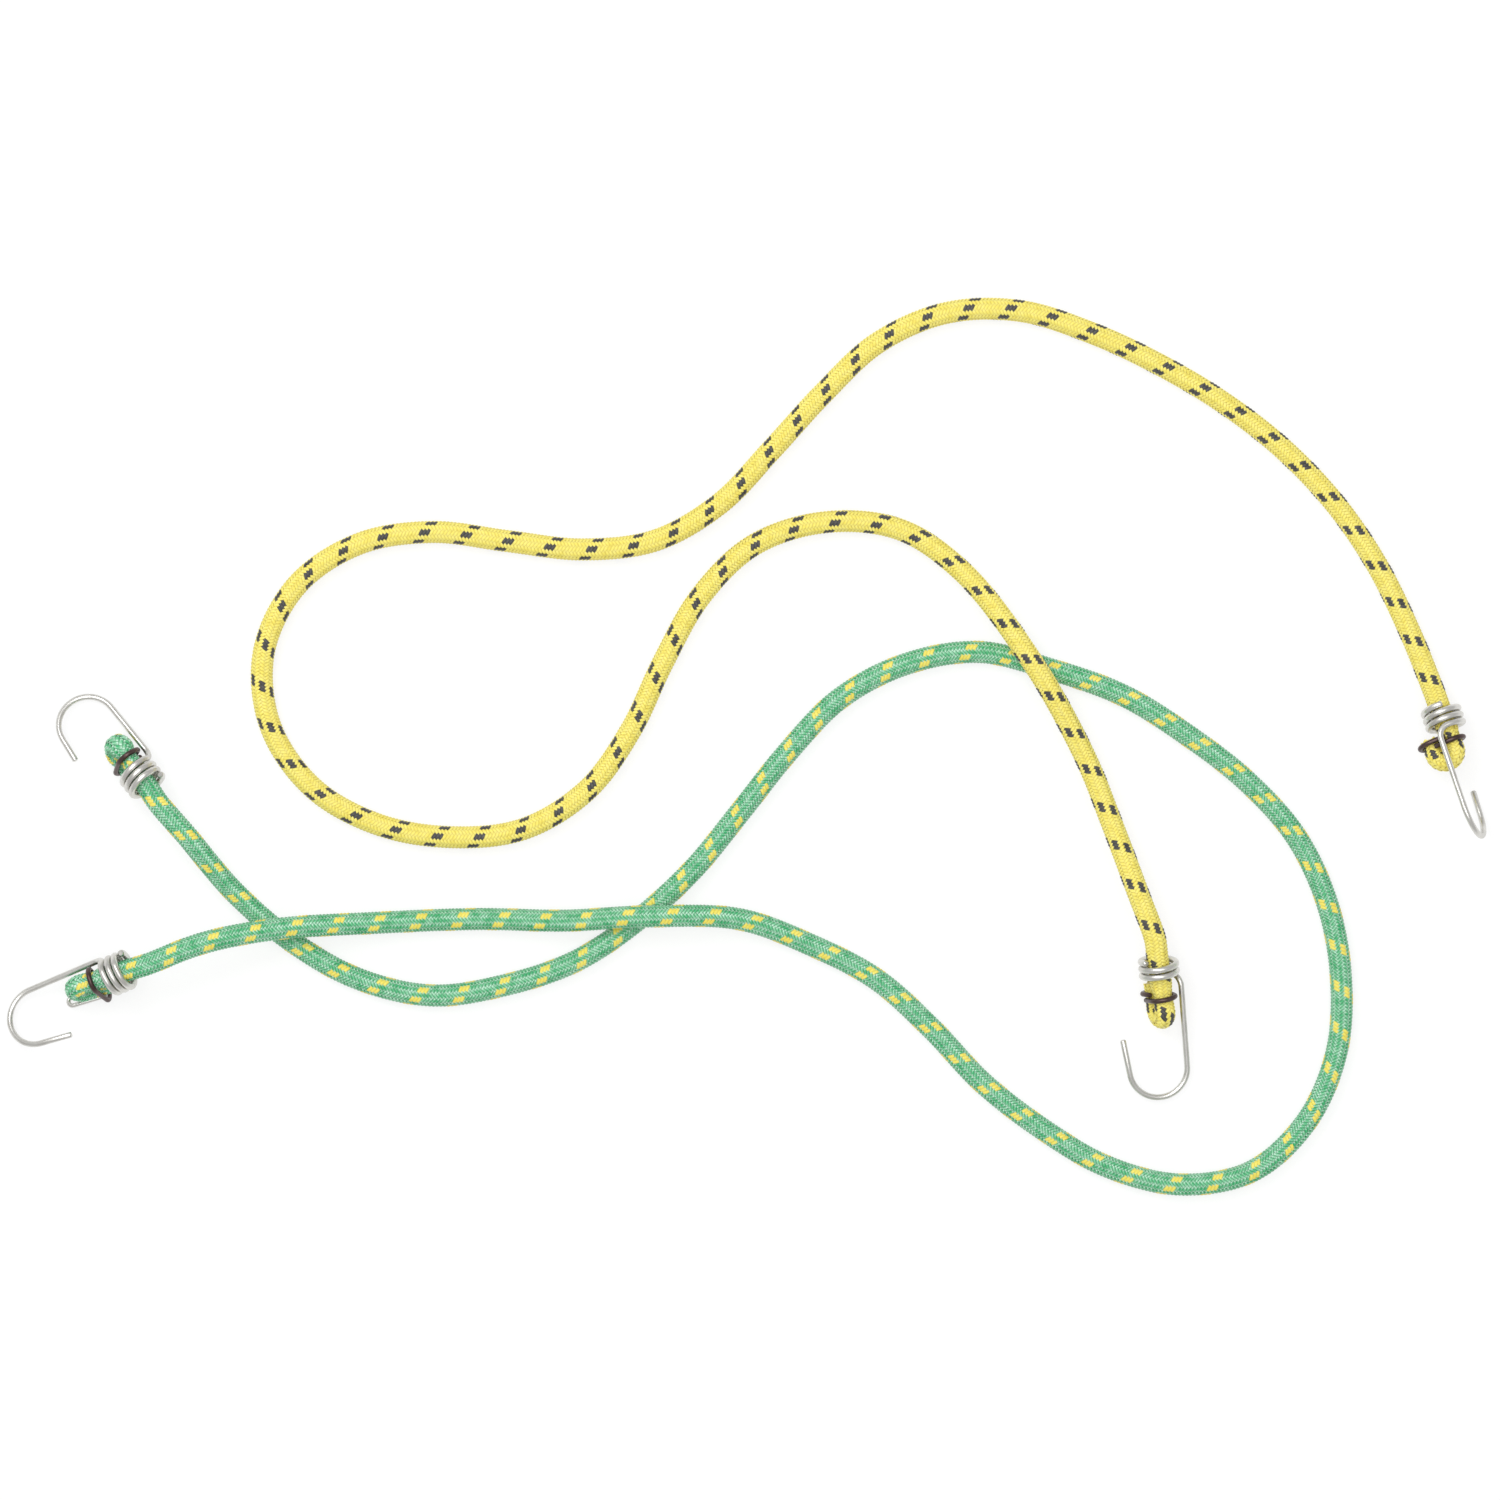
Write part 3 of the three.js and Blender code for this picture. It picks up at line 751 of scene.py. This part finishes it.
# %% Wire finishes
def wire_finish(name, colour, worn, roughness, metallic):
    finish = Finish(name, Metallic=metallic)
    place = finish.place()
    patches = finish.noise(place, 200, 4)
    grain = finish.noise(place, 1200, 2)
    share = ((patches - 0.45) * 3).kept(0, 1)
    finish.set("Base Color", finish.mixed(share, colour, worn))
    finish.set("Roughness", roughness + share * 0.08 + (grain - 0.5) * 0.05)
    finish.raise_by(grain, 0.01 * MM, 0.25)
    return finish.material


BRIGHT_WIRE = wire_finish("bright_wire", colour=(0.71, 0.70, 0.665, 1),
                          worn=(0.56, 0.545, 0.51, 1), roughness=0.33, metallic=1.0)
DARK_WIRE = wire_finish("dark_wire", colour=(0.085, 0.055, 0.052, 1),
                        worn=(0.16, 0.12, 0.11, 1), roughness=0.34, metallic=0.85)
print("wire:", BRIGHT_WIRE.name, DARK_WIRE.name)

# %% [markdown]
# ## The hooks
# A hook is one wire: a loose coil round the cord, a tight bend into the straight leg that lies
# over the knob, and the open crook. It is worked out as arcs in the hook's own frame, with the
# coil round X and the crook in the XZ plane.

# %% A hook's line
COIL_RADIUS = 5.8
COIL_PITCH = 2.45
BEND_RADIUS = 4.1
CROOK_RADIUS = 9.5
RETURN_RADIUS = 10.2
RETURN_ANGLE = math.radians(85)
WIRE_RADIUS = 1.0
COIL_STEPS, BEND_STEPS, CROOK_STEPS = 48, 10, 18


def arc(start, end, steps, spot):
    """The places that spot gives for evenly stepped angles from start to end."""
    return [spot(start + (end - start) * i / steps) for i in range(steps + 1)]


def coil_line(turns):
    """The coil, wound forward along X to where the wire bends away."""
    lean, middle = math.atan2(BEND_RADIUS, COIL_RADIUS), turns * COIL_PITCH / 2
    return arc(-lean - math.tau * turns, -lean, round(turns * COIL_STEPS), lambda a: Vector((
        middle + COIL_PITCH * (a + lean) / math.tau,
        -COIL_RADIUS * math.sin(a), COIL_RADIUS * math.cos(a))))


def bend_line(base):
    """The tight bend from the coil into the leg."""
    lean = math.atan2(BEND_RADIUS, COIL_RADIUS)
    return arc(0, math.pi / 2, BEND_STEPS, lambda a: base + BEND_RADIUS * Vector((
        1 - math.cos(a), -math.sin(a) * math.cos(lean), math.sin(a) * math.sin(lean))))


def crook_line(reach, aside):
    """The open crook beyond the leg's end. It may hang a little to one side."""
    high = math.hypot(COIL_RADIUS, BEND_RADIUS)

    def below(x, fall):
        return Vector((x, fall * math.sin(aside), high - fall * math.cos(aside)))
    over = arc(0, math.pi / 2, CROOK_STEPS, lambda a: below(
        reach + CROOK_RADIUS * math.sin(a), CROOK_RADIUS * (1 - math.cos(a))))
    under = arc(0, RETURN_ANGLE, CROOK_STEPS, lambda a: below(
        reach + CROOK_RADIUS - RETURN_RADIUS * (1 - math.cos(a)),
        CROOK_RADIUS + RETURN_RADIUS * math.sin(a)))
    return over + under[1:]


def hook_line(end):
    """The middle line of a hook's wire in the hook's own frame, in mm."""
    coil = coil_line(end["turns"])
    reach = coil[-1].x + BEND_RADIUS + end["leg_length"]
    crook = crook_line(reach, math.radians(end["twist"]))
    way = (crook[-1] - crook[-2]).normalized()
    return coil + bend_line(coil[-1])[1:] + crook + [crook[-1] + way * end["tip_length"]]


print("a hook's wire:", [round(length_of(hook_line(end)), 1) for end in ENDS.values()], "mm")

# %% Wire with its cut ends rounded off
CUT_SHARE, CUT_LENGTH = 0.72, 0.3
ROD_SIDES = 20
EASE_STEPS = 8


def cut_wire(name, line, radius, finish, fuller=0, share=1.0):
    """A rod whose two cut ends are rounded off. Its first points may be a little fuller."""
    def nip(tip, inner):
        return tip + (inner - tip).normalized() * radius * CUT_LENGTH
    line = [line[0], nip(line[0], line[1]), *line[1:-1], nip(line[-1], line[-2]), line[-1]]
    past = [eased(i, fuller - EASE_STEPS, fuller) for i in range(len(line))]
    shares = [1 + (share - 1) * (1 - step) for step in past]
    shares[0] = shares[-1] = CUT_SHARE
    return round_rod(name, line, radius, finish, ROD_SIDES, shares)


print("wire sides:", ROD_SIDES)

# %% Make the four hooks
COIL_FULLNESS = 1.1
for colour, cord in CORDS.items():
    for name in cord["ends"]:
        end = ENDS[name]
        line = hook_line(end)
        wire = cut_wire(f"{name}_hook_wire", line, WIRE_RADIUS, BRIGHT_WIRE,
                        fuller=round(end["turns"] * COIL_STEPS), share=COIL_FULLNESS)
        hook = placed(wire, hook_place(end))
        dress(hook, f"{name}_hook", f"{name}_hook")
        print(name, "wire:", round(length_of(line), 1), "mm, faces:", len(hook.data.polygons))

# %% [markdown]
# ## Clips and staple
# A clip is a short wire closed once round both strands, so its two ends overlap side by side
# and it climbs a little on its way round. The staple is a plain U driven into the fold.

# %% A clip's line
CLIP_WIRE_RADIUS = 0.85
CLIP_BITE = 0.2
CLIP_REACH = STRAND_RADIUS - CLIP_BITE + CLIP_WIRE_RADIUS
CLIP_PITCH = 1.95
CLIP_OVERLAP = 4.5
CLIP_STEPS = 24


def clip_line(place, room):
    """The middle line of a clip's wire in the fold's own frame, in mm."""
    low, high = -DROP, BACK + room
    middle = (low + high) / 2
    line = [Vector((0, CLIP_REACH, middle - CLIP_OVERLAP / 2))]
    line += arc(0, math.pi, CLIP_STEPS, lambda a: Vector((
        0, CLIP_REACH * math.cos(a), high + CLIP_REACH * math.sin(a))))
    line += arc(0, math.pi, CLIP_STEPS, lambda a: Vector((
        0, -CLIP_REACH * math.cos(a), low - CLIP_REACH * math.sin(a))))
    line.append(Vector((0, CLIP_REACH, middle + CLIP_OVERLAP / 2)))
    whole, done = length_of(line), 0.0
    before = line[0].copy()
    for spot in line:
        done += math.hypot(spot.y - before.y, spot.z - before.z)
        before = spot.copy()
        spot.x = place + CLIP_PITCH * (done - whole / 2) / (whole - CLIP_OVERLAP)
    return line


print("a clip's wire:", round(length_of(clip_line(0, 0)), 1), "mm")

# %% The staple's line
STAPLE_RADIUS = 0.75
STAPLE_DEPTH = 0.4
PRONG_ANGLES = (-15, 27)
PRONG_LENGTH = 12
BOW_START = 0.2
BOW_STEPS = 14


def staple_line(knob_turn):
    """The middle line of the staple's wire in the fold's own frame, in mm. Its prongs lie
    along the folded back strand, and its bow starts just beyond the knob."""
    reach = STRAND_RADIUS + STAPLE_DEPTH + STAPLE_RADIUS
    angles = [math.radians(angle) for angle in PRONG_ANGLES]
    left, right = (Vector((0, -reach * math.sin(a), BACK + reach * math.cos(a))) for a in angles)
    bottom = knob_turn + FOLD_RADIUS + STRAND_RADIUS + BOW_START
    bow = (right - left).length / 2
    turn = arc(0, math.pi, BOW_STEPS, lambda a: left.lerp(right, (1 - math.cos(a)) / 2)
               + Vector((bottom + bow * math.sin(a), 0, 0)))
    tail = Vector((bottom - PRONG_LENGTH, 0, 0))
    return [left + tail, *turn, right + tail]


print("the staple's wire:", round(length_of(staple_line(ENDS["green_b"]["knob_turn"])), 1), "mm")

# %% Make the clips and the staple
for colour, cord in CORDS.items():
    for name in cord["ends"]:
        end = ENDS[name]
        line = clip_line(end["clip_place"], end["room"])
        clip = cut_wire(f"{name}_clip_wire", line, CLIP_WIRE_RADIUS, DARK_WIRE)
        dress(placed(clip, fold_place(end)), cord["body"], f"{name}_clip")
line = staple_line(ENDS["green_b"]["knob_turn"])
staple = cut_wire("green_b_staple_wire", line, STAPLE_RADIUS, BRIGHT_WIRE)
dress(placed(staple, fold_place(ENDS["green_b"])), "green_cord", "green_b_staple")
print("staple faces:", len(staple.data.polygons))

# %% [markdown]
# ## Light and floor
# A shop photograph has soft light from all round and a background that is pure white. The floor
# is a plain pale sheet that keeps the cords' faint shadows. To the camera most of it glows
# white, and so it does in what the bright wire reflects.

# %% The floor
FLOOR_SIZE = 6
GLOW = 1.05
GLOW_SHARE = 0.72


def floor_finish():
    """Pale and dull, mixed with a white glow for what the camera and the shiny wire see."""
    finish = Finish("white_floor", Base_Color=(0.93, 0.93, 0.93, 1), Roughness=0.9)
    glow = finish.node("ShaderNodeEmission", {}, {"Strength": GLOW})
    to_camera = finish.node("ShaderNodeLightPath", {}, {}, "Is Camera Ray")
    to_gloss = finish.node("ShaderNodeLightPath", {}, {}, "Is Glossy Ray")
    share = to_camera.maths("MAXIMUM", to_gloss) * GLOW_SHARE
    plain = Value(finish, finish.shader.outputs[0])
    mix = finish.node("ShaderNodeMixShader", {}, {0: share, 1: plain, 2: glow})
    finish.join(finish.tree.nodes["Material Output"].inputs["Surface"], mix)
    return finish.material


bm = bmesh.new()
bmesh.ops.create_grid(bm, x_segments=1, y_segments=1, size=FLOOR_SIZE / MM)
sheet = mesh_in_metres(bm, "floor")
sheet.materials.append(floor_finish())
floor = linked("floor", sheet)
print("floor:", [round(side, 2) for side in floor.dimensions], "m")

# %% The world
WORLD_STRENGTH = 0.58
world = bpy.data.worlds.new("studio")
world.use_nodes = True
bpy.context.scene.world = world
back = world.node_tree.nodes["Background"]
back.inputs["Color"].default_value = (1, 1, 1, 1)
back.inputs["Strength"].default_value = WORLD_STRENGTH
bpy.context.scene.view_settings.view_transform = "Standard"
print("view transform:", bpy.context.scene.view_settings.view_transform)


# %% Two soft lamps
def lamp(name, place, size, watts):
    """A square area lamp in metres and watts that faces the cords."""
    data = bpy.data.lights.new(name, "AREA")
    data.shape = "SQUARE"
    data.size = size
    data.energy = watts
    obj = linked(name, data)
    obj.location = place
    facing = Vector((0, 0.05, 0)) - Vector(place)
    obj.rotation_euler = facing.to_track_quat("-Z", "Y").to_euler()
    return obj


lamp("top_light", (0.1, 0.15, 4.0), size=2.6, watts=60)
lamp("key_light", (-0.9, 1.1, 2.0), size=1.0, watts=16.5)
